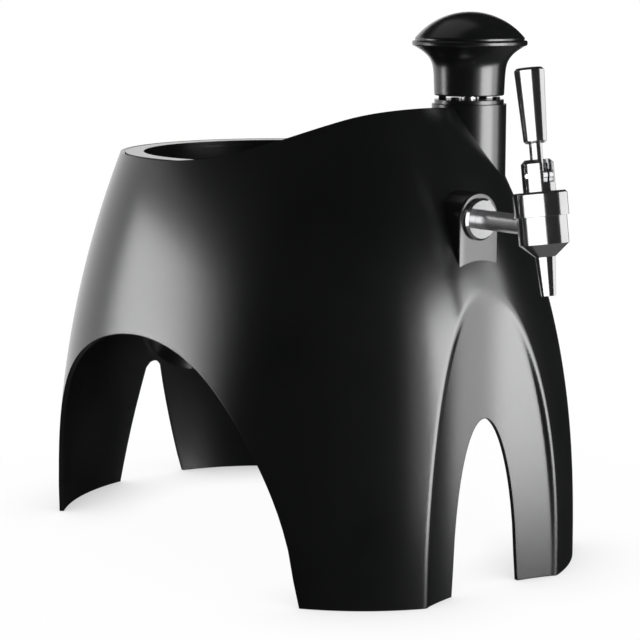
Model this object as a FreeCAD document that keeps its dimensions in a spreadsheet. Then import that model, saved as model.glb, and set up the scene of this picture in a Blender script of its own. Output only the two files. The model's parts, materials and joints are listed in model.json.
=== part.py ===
import FreeCAD, Part
import math
import os
import Sketcher

# Table dispenser for a small party keg: a moulded shell on four legs, a round well for the keg,
# a hand air pump and a chrome tap. Lengths are millimetres, +Z is up and the tap faces -Y.
# The part's reference point lies on the counter, at the middle of its outline.

doc = FreeCAD.newDocument("mini_keg_dispenser")
sizes = doc.addObject("Spreadsheet::Sheet", "sizes")
V = FreeCAD.Vector
UP = V(0, 0, 1)
SIDE = V(1, 0, 0)
BACK = V(0, 1, 0)

DIMENSIONS = [
    ("frame_back", 159.6, "front foot line to the part's reference point"),
    ("floor_half", 137.0, "half width of the shell at the counter"),
    ("rim_height", 250.0, "height of the keg mouth"),
    ("rear_top_radius", 103.0, "outer radius of the shell round the keg mouth"),
    ("front_top_radius", 87.0, "outer radius of the shell's front at mouth height"),
    ("front_bulge", 10.0, "how far the front swells past the foot line"),
    ("front_lean", 52.0, "how far the front leans back at mouth height"),
    ("rear_floor", 372.0, "foot line to the rear of the shell at the counter"),
    ("rear_lean", 57.5, "how far the rear leans in at mouth height"),
    ("wall", 3.0, "wall of the moulded shell"),
    ("hump_rise", 37.0, "rise of the front hump above the mouth"),
    ("hump_top_back", 44.0, "foot line to where the hump is level"),
    ("hump_turn_back", 80.0, "foot line to where the hump turns from round to hollow"),
    ("hump_end_back", 200.0, "foot line to where the hump ends"),
    ("side_arch_middle", 184.5, "foot line to the middle of the side arch"),
    ("side_arch_half", 135.5, "half span of the side arch"),
    ("side_arch_height", 144.0, "height of the side arch"),
    ("front_arch_half", 26.0, "half span of the front arch"),
    ("front_arch_height", 104.0, "height of the front arch"),
    ("rear_arch_half", 28.0, "half span of the rear arch at the counter"),
    ("rear_arch_crown", 7.5, "radius of the rear arch's crown"),
    ("rear_arch_height", 88.0, "height of the rear arch"),
    ("recess_half", 53.8, "half width of the front recess"),
    ("recess_drop", 69.0, "mouth height down to the recess's crown"),
    ("recess_height", "=rim_height - recess_drop", "height of the front recess"),
    ("recess_depth", 6.5, "foot line to the recess at its foot"),
    ("recess_radius", 227.0, "hollow radius of the recess face"),
    ("recess_lean", 1.9, "lean of the recess face, degrees"),
    ("recess_sink", 60.0, "counter down to where the recess's lean starts"),
    ("boss_face_back", 17.6, "foot line to the tap boss's face"),
    ("boss_half", 15.7, "half width of the tap boss"),
    ("boss_drop", 60.0, "mouth height down to the boss's foot"),
    ("boss_foot", "=rim_height - boss_drop", "height of the tap boss's foot"),
    ("ring_width", 11.7, "width of the mouth ring"),
    ("ring_gap", 0.3, "gap round the mouth ring"),
    ("well_radius", "=rear_top_radius - wall - ring_gap - ring_width", "radius of the keg well"),
    ("ring_thick", 3.0, "thickness of the mouth ring"),
    ("liner_wall", 2.4, "wall of the well liner"),
    ("liner_margin", 8.0, "how far the liner stays above the arches"),
    ("rib_count", 10, "ribs round the liner"),
    ("rib_thick", 2.4, "thickness of a liner rib"),
    ("rib_top_gap", 22.0, "mouth height down to a rib's top"),
    ("rib_length", 62.0, "length of a liner rib"),
    ("liner_flange", 2.4, "thickness of the liner's top flange"),
    ("deck_thick", 3.0, "thickness of the front deck"),
    ("deck_tail", 40.0, "well's axis forward to the deck's rear ends"),
    ("seat_gap", 0.3, "gap between pieces that slide together"),
    ("pump_inset", 57.0, "rear rim's outside in to the pump's axis"),
    ("pump_side", "=rear_top_radius - pump_inset", "middle plane to the pump's axis"),
    ("pump_back", 77.3, "foot line to the pump's axis"),
    ("sleeve_radius", 23.0, "outer radius of the pump column"),
    ("sleeve_wall", 2.5, "wall of the pump column"),
    ("column_rise", 35.0, "mouth height up to the column's top"),
    ("sleeve_top", "=rim_height + column_rise", "height of the column's top"),
    ("sleeve_length", 130.0, "length of the column"),
    ("sleeve_floor", 4.0, "thickness of the column's floor"),
    ("collar_wall", 2.5, "wall of the deck's collar round the column"),
    ("collar_depth", 10.0, "depth of the deck's collar"),
    ("guide_thick", 2.6, "height of the guide bush above the column"),
    ("guide_plug", 9.0, "depth of the guide bush in the column"),
    ("guide_step", 1.6, "column's outside in to the bush's top"),
    ("guide_bore", 5.6, "radius of the guide bush's bore"),
    ("lug_count", 4, "lugs round the guide bush"),
    ("lug_height", 2.0, "height of a guide lug"),
    ("lug_length", 3.2, "length of a guide lug outwards"),
    ("lug_width", 4.0, "width of a guide lug"),
    ("lug_inset", 6.0, "column's outside to a lug's inner end"),
    ("lug_root", 0.5, "depth of a lug in the bush"),
    ("lug_turn", 20.0, "turn of the first lug, degrees"),
    ("grip_radius", 21.4, "radius of the handle's neck"),
    ("grip_gap", 5.0, "column's top up to the handle's neck"),
    ("grip_foot", "=sleeve_top + grip_gap", "height of the neck's foot"),
    ("neck_length", 16.0, "straight length of the handle's neck"),
    ("flare_length", 14.5, "length of the neck's flare"),
    ("grip_flare_top", "=grip_foot + neck_length + flare_length", "height where the flare ends"),
    ("neck_swell", 0.4, "swell of the neck at its top"),
    ("flare_low_rise", 6.0, "neck's top up to the flare's first bend"),
    ("flare_low_swell", 2.2, "swell at the flare's first bend"),
    ("flare_high_rise", 10.5, "neck's top up to the flare's second bend"),
    ("flare_high_swell", 5.2, "swell at the flare's second bend"),
    ("cap_overhang", 2.6, "cap's rim past the flare's top"),
    ("grip_wall", 2.4, "wall of the handle's neck"),
    ("cap_radius", 35.4, "radius of the handle's cap"),
    ("cap_edge", 2.4, "height of the cap's rim"),
    ("cap_rise", 18.1, "rise of the cap's dome above its rim"),
    ("rod_radius", 5.0, "radius of the piston rod"),
    ("run_gap", 0.06, "running clearance of shafts"),
    ("barrel_radius", 14.0, "outer radius of the air barrel"),
    ("barrel_wall", 1.6, "wall of the air barrel"),
    ("barrel_length", 96.0, "length of the air barrel"),
    ("gland_flange", 3.0, "flange of the gland on the barrel's top"),
    ("gland_plug", 6.0, "depth of the gland in the barrel"),
    ("gland_brim", 3.0, "barrel's outside to the gland's edge"),
    ("piston_thick", 8.0, "thickness of the piston"),
    ("piston_lift", 6.0, "barrel's floor to the piston at rest"),
    ("seal_thick", 2.4, "thickness of the piston's cup seal"),
    ("valve_thick", 1.6, "thickness of the check valve"),
    ("valve_radius", 6.0, "radius of the check valve"),
    ("hose_bore", 2.5, "radius of the air barb's bore"),
    ("barb_radius", 4.2, "radius of the hose barbs"),
    ("barb_length", 20.0, "length of the hose barbs"),
    ("barb_nose", 1.0, "how far a barb's nose draws in"),
    ("barb_step", 0.8, "step behind a barb's tooth"),
    ("barb_tip", 3.0, "length of a barb's nose"),
    ("barb_pitch", 4.0, "pitch of a barb's teeth"),
    ("barb_brim", 1.2, "brim at the beer barb's foot"),
    ("shank_drop", 28.0, "mouth height down to the tap shank's axis"),
    ("shank_height", "=rim_height - shank_drop", "height of the tap shank's axis"),
    ("shank_radius", 5.75, "radius of the tap shank"),
    ("shank_bore", 3.0, "radius of the shank's bore"),
    ("shank_tail", 34.0, "shank behind the boss's face"),
    ("rose_radius", 12.5, "radius of the chrome rose"),
    ("rose_thick", 3.2, "thickness of the chrome rose"),
    ("rose_edge", 1.3, "chamfer of the chrome rose"),
    ("washer_radius", 11.0, "radius of the rubber washer"),
    ("washer_thick", 2.5, "thickness of the rubber washer"),
    ("nut_across", 20.0, "width across the shank nut's flats"),
    ("nut_thick", 6.5, "thickness of the shank nut"),
    ("tap_reach", 52.5, "boss's face to the tap's axis"),
    ("tap_tilt", 8.5, "backward tilt of the tap, degrees"),
    ("tap_radius", 14.2, "radius of the tap's barrel"),
    ("tap_low", 9.4, "shank's axis down to the barrel's foot"),
    ("tap_high", 6.3, "shank's axis up to the barrel's top"),
    ("cone_low", 16.6, "shank's axis down to the cone's foot"),
    ("nozzle_top_radius", 5.8, "radius of the spout's top"),
    ("nozzle_end_radius", 4.2, "radius of the spout's end"),
    ("nozzle_bore", 3.0, "radius of the spout's bore"),
    ("nozzle_length", 22.2, "length of the spout"),
    ("chamber_radius", 8.0, "radius of the beer chamber"),
    ("seat_bore", 3.6, "radius of the valve seat's hole"),
    ("seat_low", 5.2, "shank's axis down to the seat's underside"),
    ("seat_thick", 1.2, "thickness of the valve seat"),
    ("throat_start", 2.0, "barrel's foot to where the throat narrows"),
    ("throat_end", 5.0, "barrel's foot to where the throat ends"),
    ("collar_radius", 15.5, "radius of the tap's collar"),
    ("collar_height", 13.9, "height of the tap's collar"),
    ("collar_step", 1.2, "chamfer of the tap's collar"),
    ("bonnet_radius", 9.25, "radius of the lever's barrel"),
    ("bonnet_bore", 5.6, "radius of the lever barrel's bore"),
    ("bonnet_height", 18.2, "height of the lever's barrel"),
    ("bonnet_chamfer", 2.2, "chamfer on top of the lever's barrel"),
    ("bonnet_roof", 2.4, "roof of the lever's barrel"),
    ("slot_gap", 0.4, "lever's stem to the slot's side"),
    ("pin_rise", 9.2, "collar's top up to the lever's pin"),
    ("pin_radius", 1.4, "radius of the lever's pin"),
    ("lever_hub", 4.3, "radius of the lever's hub"),
    ("lever_hub_width", 6.8, "width of the lever's hub"),
    ("cam_lift", 1.6, "travel that the lever's cam gives the valve"),
    ("lever_swing", 35.0, "swing of the lever, degrees"),
    ("cam_shoulder", 30.0, "turn from the cam's nose to its shoulder, degrees"),
    ("neck_radius", 3.7, "radius of the lever's stem"),
    ("handle_start", 47.5, "shank's axis up to the handle's foot"),
    ("handle_length", 42.5, "length of the tap handle"),
    ("handle_foot_radius", 6.6, "radius of the handle's foot"),
    ("handle_top_radius", 8.5, "radius of the handle's top"),
    ("handle_chamfer", 1.4, "chamfer of the handle's ends"),
    ("handle_bore_depth", 14.0, "depth of the stem in the handle"),
    ("stem_radius", 2.2, "radius of the valve stem"),
    ("disc_radius", 6.4, "radius of the valve's rubber disc"),
    ("disc_thick", 2.6, "thickness of the valve's rubber disc"),
    ("tip_radius", 0.6, "radius of the valve stem's tip"),
    ("cam_gap", 0.5, "gap between the lever's cam and the valve stem"),
    ("screw_radius", 1.25, "radius of a screw's shank"),
    ("screw_head", 2.6, "radius of a screw's head"),
    ("screw_head_height", 1.8, "height of a screw's head"),
    ("screw_bite", 2.2, "depth of a screw in the mouth ring"),
]
for row, (alias, number, note) in enumerate(DIMENSIONS, start=1):
    sizes.set("A%d" % row, alias)
    sizes.set("B%d" % row, str(number))
    sizes.set("C%d" % row, note)
    sizes.setAlias("B%d" % row, alias)
doc.recompute()

probe = doc.addObject("Part::Box", "probe")


def value(formula):
    """Number that a sheet formula gives."""
    result = probe.evalExpression(formula)
    return float(getattr(result, "Value", result))


def size(alias):
    """Number in the sheet under one alias."""
    return float(sizes.get(alias))


def name_part(obj, label, x="0", y="0", z="0", axis=None, angle="0"):
    """Give a sub-part its node name and its bound placement; y counts from the foot line."""
    obj.Label = label
    turn = FreeCAD.Rotation(axis or UP, 0.0)
    obj.Placement = FreeCAD.Placement(V(0, 0, 0), turn)
    if axis is not None:
        obj.Placement = FreeCAD.Placement(V(0, 0, 0), FreeCAD.Rotation(axis, value(angle)))
    obj.setExpression("Placement.Base.x", x)
    obj.setExpression("Placement.Base.y", y + " - sizes.frame_back")
    obj.setExpression("Placement.Base.z", z)
    finished.append(obj)
    return obj


finished = []


def plane_of(body, role):
    """One of a body's own origin planes."""
    return [item for item in body.Origin.OriginFeatures if item.Role == role][0]


def outline_sketch(body, title, points, role="XZ_Plane"):
    """Closed outline of straight lines whose corners are bound to sheet formulas."""
    sketch = body.newObject("Sketcher::SketchObject", title)
    sketch.AttachmentSupport = [(plane_of(body, role), "")]
    sketch.MapMode = "FlatFace"
    corners = [(value(across), value(along)) for across, along in points]
    count = len(corners)
    for index in range(count):
        here = corners[index]
        there = corners[(index + 1) % count]
        sketch.addGeometry(Part.LineSegment(V(here[0], here[1], 0), V(there[0], there[1], 0)))
    for index in range(count):
        sketch.addConstraint(Sketcher.Constraint("Coincident", index, 2, (index + 1) % count, 1))
    for index, (across, along) in enumerate(points):
        bind_corner(sketch, index, "DistanceX", across, -2)
        bind_corner(sketch, index, "DistanceY", along, -1)
    return sketch


def bind_corner(sketch, index, kind, formula, axis):
    """Hold one corner at a formula's distance from the sketch's origin, or on its axis."""
    number = value(formula)
    if abs(number) < 1e-9:
        sketch.addConstraint(Sketcher.Constraint("PointOnObject", index, 1, axis))
        return
    place = sketch.addConstraint(Sketcher.Constraint(kind, -1, 1, index, 1, number))
    title = "%s_%d" % (kind, index)
    sketch.renameConstraint(place, title)
    sketch.setExpression("Constraints." + title, formula)


def turned(title, points):
    """Body turned about its own Z axis from an outline of radius and height formulas."""
    body = doc.addObject("PartDesign::Body", title)
    sketch = outline_sketch(body, title + "_profile", points)
    turn = body.newObject("PartDesign::Revolution", title + "_turn")
    turn.Profile = sketch
    turn.ReferenceAxis = (sketch, ["V_Axis"])
    turn.Angle = 360.0
    body.Tip = turn
    doc.recompute()
    return body


def bind(obj, **formulas):
    """Bind an object's properties to sheet formulas."""
    for key, formula in formulas.items():
        obj.setExpression(key, formula)
    return obj


def cylinder(title, radius, height, **place):
    """Plain cylinder bound to formulas, with an optional place."""
    solid = doc.addObject("Part::Cylinder", title)
    bind(solid, Radius=radius, Height=height)
    shift_tool(solid, **place)
    return solid


def box(title, length, width, height, **place):
    """Plain box bound to formulas, with an optional place."""
    solid = doc.addObject("Part::Box", title)
    bind(solid, Length=length, Width=width, Height=height)
    shift_tool(solid, **place)
    return solid


def shift_tool(solid, x="0", y="0", z="0", axis=None, angle=0.0):
    """Move a tool inside its part's own frame."""
    if axis is not None:
        solid.Placement = FreeCAD.Placement(V(0, 0, 0), FreeCAD.Rotation(axis, angle))
    solid.setExpression("Placement.Base.x", x)
    solid.setExpression("Placement.Base.y", y)
    solid.setExpression("Placement.Base.z", z)


def cut(title, base, tool):
    """Base less tool."""
    result = doc.addObject("Part::Cut", title)
    result.Base = base
    result.Tool = tool
    return result


def fuse(title, *solids):
    """Solids joined into one."""
    result = doc.addObject("Part::MultiFuse", title)
    result.Shapes = list(solids)
    return result


# Shell sections
# Every level of the shell is two circles with common tangents: a front one and a rear one.
# Their radii and their outermost points change with height by simple powers.

SIDE_POWER = 2.6
FRONT_ROUND_POWER = 2.05
FRONT_LEAN_POWER = 2.7
REAR_LEAN_POWER = 1.85
LEVELS = [0.0, 0.2, 0.4, 0.6, 0.78, 0.92, 1.06, 1.2]


def level_circles(height, inset):
    """Front and rear circle of one level: centre along Y and radius, drawn in by a wall."""
    share = height / size("rim_height")
    sign = max(share, 0.0)
    rear_radius = size("floor_half") - (size("floor_half") - size("rear_top_radius")) * sign ** SIDE_POWER
    front_radius = size("floor_half")
    front_radius -= (size("floor_half") - size("front_top_radius")) * sign ** FRONT_ROUND_POWER
    front_edge = size("front_lean") * sign ** FRONT_LEAN_POWER - size("front_bulge")
    rear_edge = size("rear_floor") - size("rear_lean") * sign ** REAR_LEAN_POWER
    front = (front_edge + front_radius, front_radius - inset)
    rear = (rear_edge - rear_radius, rear_radius - inset)
    return front, rear


def level_wire(height, inset, draw_height):
    """Closed outline of one level: two arcs and their two tangent lines."""
    (front_y, front_r), (rear_y, rear_r) = level_circles(height, inset)
    slope = math.asin((rear_r - front_r) / (rear_y - front_y))
    out_x = math.cos(slope)
    out_y = -math.sin(slope)
    front_right = V(front_r * out_x, front_y + front_r * out_y, draw_height)
    front_left = V(-front_r * out_x, front_y + front_r * out_y, draw_height)
    rear_right = V(rear_r * out_x, rear_y + rear_r * out_y, draw_height)
    rear_left = V(-rear_r * out_x, rear_y + rear_r * out_y, draw_height)
    front_tip = V(0, front_y - front_r, draw_height)
    rear_tip = V(0, rear_y + rear_r, draw_height)
    edges = [
        Part.Arc(front_left, front_tip, front_right).toShape(),
        Part.LineSegment(front_right, rear_right).toShape(),
        Part.Arc(rear_right, rear_tip, rear_left).toShape(),
        Part.LineSegment(rear_left, front_left).toShape(),
    ]
    return Part.Wire(edges)


def dome(inset, foot_drop, head_room):
    """Solid through the shell's levels; it may start below the counter and end above the rim."""
    wires = []
    for share in LEVELS:
        height = share * size("rim_height")
        wires.append(level_wire(height, inset, height))
    body = Part.makeLoft(wires, True, False)
    if foot_drop > 0:
        foot = Part.Face(level_wire(0.0, inset, 0.0)).extrude(V(0, 0, -foot_drop))
        body = body.fuse(foot)
    if head_room > 0:
        top = LEVELS[-1] * size("rim_height")
        head = Part.Face(level_wire(top, inset, top)).extrude(V(0, 0, head_room))
        body = body.fuse(head)
    return body


def half_ellipse(middle, half, height, axis):
    """Half ellipse standing on the counter, square to an axis: SIDE or BACK."""
    if axis == SIDE:
        foot_low, foot_high, crown = V(0, middle - half, 0), V(0, middle + half, 0), V(0, middle, height)
        centre = V(0, middle, 0)
    else:
        foot_low, foot_high, crown = V(middle - half, 0, 0), V(middle + half, 0, 0), V(middle, 0, height)
        centre = V(middle, 0, 0)
    if height >= half:
        curve = Part.Ellipse(crown, foot_high, centre)
    else:
        curve = Part.Ellipse(foot_high, crown, centre)
    whole = Part.Face(Part.Wire(curve.toShape()))
    return whole


def arch_tool(middle, half, height, axis, start, length):
    """Prism of a whole ellipse whose upper half is the arch."""
    face = half_ellipse(middle, half, height, axis)
    face.translate(axis * start)
    return face.extrude(axis * length)


def arc_middle(run, slope):
    """Middle of an arc that starts level and rises by slope times its run: its run and rise."""
    rise = run * slope
    bend = (run ** 2 + rise ** 2) / (2.0 * rise)
    turn = math.asin(run / bend) / 2.0
    return bend * math.sin(turn), bend * (1.0 - math.cos(turn))


def rim_tool():
    """Everything above the rim: flat at the mouth, with two tangent arcs up to the hump."""
    low = size("rim_height")
    high = low + size("hump_rise")
    far = size("rear_floor") + size("rear_lean")
    top = high + size("rear_top_radius")
    start_y, turn_y, end_y = size("hump_top_back"), size("hump_turn_back"), size("hump_end_back")
    slope = size("hump_rise") / (end_y - start_y)
    crest_run, crest_dip = arc_middle(turn_y - start_y, slope)
    foot_run, foot_dip = arc_middle(end_y - turn_y, slope)
    front = -size("floor_half")
    corners = [
        V(0, front, high), V(0, start_y, high), V(0, start_y + crest_run, high - crest_dip),
        V(0, turn_y, low + slope * (end_y - turn_y)), V(0, end_y - foot_run, low + foot_dip), V(0, end_y, low),
        V(0, far, low), V(0, far, top), V(0, front, top),
    ]
    edges = [
        Part.LineSegment(corners[0], corners[1]).toShape(),
        Part.Arc(corners[1], corners[2], corners[3]).toShape(),
        Part.Arc(corners[3], corners[4], corners[5]).toShape(),
        Part.LineSegment(corners[5], corners[6]).toShape(),
        Part.LineSegment(corners[6], corners[7]).toShape(),
        Part.LineSegment(corners[7], corners[8]).toShape(),
        Part.LineSegment(corners[8], corners[0]).toShape(),
    ]
    face = Part.Face(Part.Wire(edges))
    reach = size("floor_half") + size("wall")
    face.translate(SIDE * -reach)
    return face.extrude(SIDE * (2.0 * reach))


def recess_tool(spread):
    """Hollow front recess, grown by a wall: an arch prism within a large leaning cylinder."""
    reach = size("floor_half")
    arch = arch_tool(0.0, size("recess_half") + spread, size("recess_height") + spread, BACK, -reach, 2.0 * reach)
    sink = size("recess_sink")
    foot = V(0, size("recess_depth") - size("recess_radius"), -sink)
    lean = math.radians(size("recess_lean"))
    direction = V(0, math.sin(lean), math.cos(lean))
    hollow = Part.makeCylinder(size("recess_radius") + spread, size("rim_height") + 2.0 * sink, foot, direction)
    return arch.common(hollow)


def boss_block(inset, face_back):
    """Arch-shaped block of the tap boss, from its face to well inside the shell."""
    half = size("boss_half") - inset
    crown = size("shank_height")
    low = size("boss_foot") + inset
    depth = size("front_lean") + size("front_bulge")
    corners = [V(-half, face_back, low), V(half, face_back, low), V(half, face_back, crown), V(-half, face_back, crown)]
    edges = [
        Part.LineSegment(corners[0], corners[1]).toShape(),
        Part.LineSegment(corners[1], corners[2]).toShape(),
        Part.Arc(corners[2], V(0, face_back, crown + half), corners[3]).toShape(),
        Part.LineSegment(corners[3], corners[0]).toShape(),
    ]
    return Part.Face(Part.Wire(edges)).extrude(BACK * depth)


def well_cylinder(radius, low, high):
    """Cylinder about the keg well's axis."""
    return Part.makeCylinder(radius, high - low, V(0, well_back(), low), UP)


def well_back():
    """Foot line to the keg well's axis."""
    return size("rear_floor") - size("rear_lean") - size("rear_top_radius")


def arch_tools(margin):
    """The side, front and rear arches as one list of tools, grown by a margin."""
    reach = size("floor_half") + size("front_lean")
    side = arch_tool(size("side_arch_middle"), size("side_arch_half") + margin,
                     size("side_arch_height") + margin, SIDE, -reach, 2.0 * reach)
    front = arch_tool(0.0, size("front_arch_half") + margin, size("front_arch_height") + margin,
                      BACK, -size("front_lean"), 2.0 * size("front_lean"))
    rear = rear_arch(margin, size("rear_floor") - size("rear_top_radius"), 2.0 * size("rear_top_radius"))
    return side, front, rear


def rear_arch(margin, start, length):
    """Narrow rear arch: two straight sides that lean together up to a round crown."""
    foot = size("rear_arch_half") + margin
    crown = size("rear_arch_crown") + margin
    spring = size("rear_arch_height") - size("rear_arch_crown")
    splay = (foot - crown) / spring
    sink = size("wall")
    corners = [
        V(-foot - sink * splay, start, -sink), V(-crown, start, spring), V(crown, start, spring),
        V(foot + sink * splay, start, -sink),
    ]
    edges = [
        Part.LineSegment(corners[0], corners[1]).toShape(),
        Part.Arc(corners[1], V(0, start, spring + crown), corners[2]).toShape(),
        Part.LineSegment(corners[2], corners[3]).toShape(),
        Part.LineSegment(corners[3], corners[0]).toShape(),
    ]
    return Part.Face(Part.Wire(edges)).extrude(BACK * length)


def add_shape(label, shape, z="0"):
    """Sub-part whose shape is worked out above, placed from the foot line."""
    item = doc.addObject("Part::Feature", label)
    item.Shape = shape
    return name_part(item, label, z=z)


def pump_space():
    """Clear cylinder that the pump's column stands in."""
    foot = V(size("pump_side"), size("pump_back"), 0)
    return Part.makeCylinder(size("sleeve_radius") + size("seat_gap"), 2.0 * size("rim_height"), foot, UP)


def make_shell():
    """Moulded shell: outer dome and boss, less the recess, the cavity, the arches and the rim."""
    outer = dome(0.0, 0.0, 0.0)
    outer = outer.cut(recess_tool(0.0))
    outer = outer.fuse(boss_block(0.0, size("boss_face_back")))
    cavity = dome(size("wall"), size("wall"), size("wall"))
    cavity = cavity.cut(recess_tool(size("wall")))
    cavity = cavity.fuse(boss_block(size("wall"), size("boss_face_back") + size("wall")))
    shell = outer.cut(cavity)
    for tool in arch_tools(0.0):
        shell = shell.cut(tool)
    shell = shell.cut(rim_tool())
    shell = shell.cut(pump_space())
    bore = Part.makeCylinder(size("shank_radius") + size("seat_gap"), size("shank_tail"),
                             V(0, size("boss_face_back") - size("wall"), size("shank_height")), BACK)
    shell = shell.cut(bore)
    solids = sorted(shell.Solids, key=lambda item: item.Volume)
    return solids[-1]


shell_shape = make_shell()
add_shape("housing_shell", shell_shape)


LINER_SCREWS = [0.0, 45.0, 135.0, 180.0]
DECK_SCREWS = [232.0, 270.0, 308.0]


def screw_circle():
    """Radius of the screw circle, halfway between the liner and the shell."""
    inner = size("well_radius") + size("liner_wall")
    outer = size("rear_top_radius") - size("wall")
    return (inner + outer) / 2.0


def screw_places(angles):
    """Screw centres round the well, at angles from the object's side."""
    reach = screw_circle()
    places = []
    for angle in angles:
        turn = math.radians(angle)
        places.append(V(reach * math.cos(turn), well_back() + reach * math.sin(turn), 0))
    return places


def screw_holes(angles, low, length):
    """Clear holes for the screws."""
    radius = size("screw_radius") + size("seat_gap") / 2.0
    return [Part.makeCylinder(radius, length, place + UP * low, UP) for place in screw_places(angles)]


def make_liner():
    """Round well wall with outer ribs, trimmed a little above the arches."""
    inner = size("well_radius")
    outer = inner + size("liner_wall")
    top = size("rim_height") - size("ring_thick")
    rim = inner + size("ring_width")
    wall = well_cylinder(outer, 0.0, top)
    wall = wall.fuse(well_cylinder(rim, top - size("liner_flange"), top))
    wall = wall.cut(well_cylinder(inner, -outer, top + outer))
    rib_top = size("rim_height") - size("rib_top_gap")
    rib_low = rib_top - size("rib_length")
    root = size("liner_wall") / 2.0
    ribs = []
    for index in range(int(size("rib_count"))):
        angle = 360.0 * (index + 0.5) / size("rib_count")
        rib = Part.makeBox(rim - outer + root, size("rib_thick"), size("rib_length"),
                           V(outer - root, -size("rib_thick") / 2.0, rib_low))
        rib.rotate(V(0, 0, 0), UP, angle)
        rib.translate(V(0, well_back(), 0))
        ribs.append(rib)
    wall = wall.fuse(ribs)
    side, _, rear = arch_tools(size("liner_margin"))
    wall = wall.cut(side).cut(rear)
    deep = 2.0 * size("liner_flange")
    for hole in screw_holes(LINER_SCREWS + DECK_SCREWS, top - deep, 2.0 * deep):
        wall = wall.cut(hole)
    return wall.removeSplitter()


liner_shape = make_liner()
add_shape("keg_liner", liner_shape)


def make_ring():
    """Mouth ring that lies inside the shell's rear rim, flush with it."""
    top = size("rim_height")
    foot = top - size("ring_thick")
    plate = well_cylinder(size("well_radius") + size("ring_width"), foot, top)
    plate = plate.cut(well_cylinder(size("well_radius"), 0.0, 2.0 * top))
    deep = size("screw_bite") + size("seat_gap")
    for bore in screw_holes(LINER_SCREWS + DECK_SCREWS, foot - deep, 2.0 * deep):
        plate = plate.cut(bore)
    return plate


ring_shape = make_ring()
add_shape("keg_ring", ring_shape)


def deck_top():
    """Height of the deck's top, against the liner's flange."""
    return size("rim_height") - size("ring_thick") - size("liner_flange")


def make_deck():
    """Deck in front of the well: the cavity's outline less the well and the pump."""
    top = deck_top()
    level = dome(size("wall") + size("seat_gap"), 0.0, 0.0)
    reach = size("rear_floor")
    slab = Part.makeBox(2.0 * reach, 2.0 * reach, size("deck_thick"), V(-reach, -reach, top - size("deck_thick")))
    plate = level.common(slab)
    sleeve_axis = V(size("pump_side"), size("pump_back"), top - size("collar_depth"))
    collar = Part.makeCylinder(size("sleeve_radius") + size("collar_wall"), size("collar_depth"), sleeve_axis, UP)
    plate = plate.fuse(collar.common(level))
    plate = plate.cut(well_cylinder(size("well_radius") + size("liner_wall") + size("seat_gap"), 0.0, 2.0 * top))
    behind = Part.makeBox(2.0 * reach, reach, 2.0 * top, V(-reach, well_back() - size("deck_tail"), 0))
    plate = plate.cut(behind)
    plate = plate.cut(pump_space())
    for hole in screw_holes(DECK_SCREWS, top - size("collar_depth"), 2.0 * size("collar_depth")):
        plate = plate.cut(hole)
    solids = sorted(plate.Solids, key=lambda item: item.Volume)
    return solids[-1]


deck_shape = make_deck()
add_shape("front_deck", deck_shape)


def make_screws(angles, seat):
    """Pan-head screws driven upwards into the mouth ring from a seat height."""
    tip = size("rim_height") - size("ring_thick") + size("screw_bite")
    screws = []
    for place in screw_places(angles):
        head = Part.makeCylinder(size("screw_head"), size("screw_head_height"),
                                 place + UP * (seat - size("screw_head_height")), UP)
        shank = Part.makeCylinder(size("screw_radius"), tip - seat, place + UP * seat, UP)
        screws.append(head.fuse(shank))
    return Part.makeCompound(screws)


add_shape("liner_screws", make_screws(LINER_SCREWS, deck_top()))
add_shape("deck_screws", make_screws(DECK_SCREWS, deck_top() - size("deck_thick")))

# Hand pump, each piece about the pump's own axis with heights from the counter

PUMP = {"x": "sizes.pump_side", "y": "sizes.pump_back"}
SLEEVE_FOOT = "(sizes.sleeve_top - sizes.sleeve_length)"
SLEEVE_IN = "(sizes.sleeve_radius - sizes.sleeve_wall)"

sleeve = turned("pump_sleeve", [
    ("sizes.barb_radius + sizes.seat_gap", "0"),
    ("sizes.sleeve_radius", "0"),
    ("sizes.sleeve_radius", "sizes.sleeve_length"),
    (SLEEVE_IN, "sizes.sleeve_length"),
    (SLEEVE_IN, "sizes.sleeve_floor"),
    ("sizes.barb_radius + sizes.seat_gap", "sizes.sleeve_floor"),
])
name_part(sleeve, "pump_sleeve", z=SLEEVE_FOOT, **PUMP)

guide_blank = turned("guide_blank", [
    ("sizes.guide_bore", "0"),
    (SLEEVE_IN + " - sizes.run_gap", "0"),
    (SLEEVE_IN + " - sizes.run_gap", "sizes.guide_plug"),
    ("sizes.sleeve_radius - sizes.guide_step", "sizes.guide_plug"),
    ("sizes.sleeve_radius - sizes.guide_step", "sizes.guide_plug + sizes.guide_thick"),
    ("sizes.guide_bore", "sizes.guide_plug + sizes.guide_thick"),
])
lugs = []
for index in range(int(size("lug_count"))):
    turn = "((360 * %d / sizes.lug_count + sizes.lug_turn) * 1 deg)" % index
    across = "(sizes.sleeve_radius - sizes.lug_inset) * cos(%s) + sizes.lug_width / 2 * sin(%s)" % (turn, turn)
    along = "(sizes.sleeve_radius - sizes.lug_inset) * sin(%s) - sizes.lug_width / 2 * cos(%s)" % (turn, turn)
    lug = box("guide_lug_%d" % (index + 1), "sizes.lug_length", "sizes.lug_width", "sizes.lug_height + sizes.lug_root",
              x=across, y=along, z="sizes.guide_plug + sizes.guide_thick - sizes.lug_root",
              axis=UP, angle=value("360 * %d / sizes.lug_count + sizes.lug_turn" % index))
    lugs.append(lug)
guide = fuse("guide_whole", guide_blank, *lugs)
name_part(guide, "pump_guide", z="sizes.sleeve_top - sizes.guide_plug", **PUMP)

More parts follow.
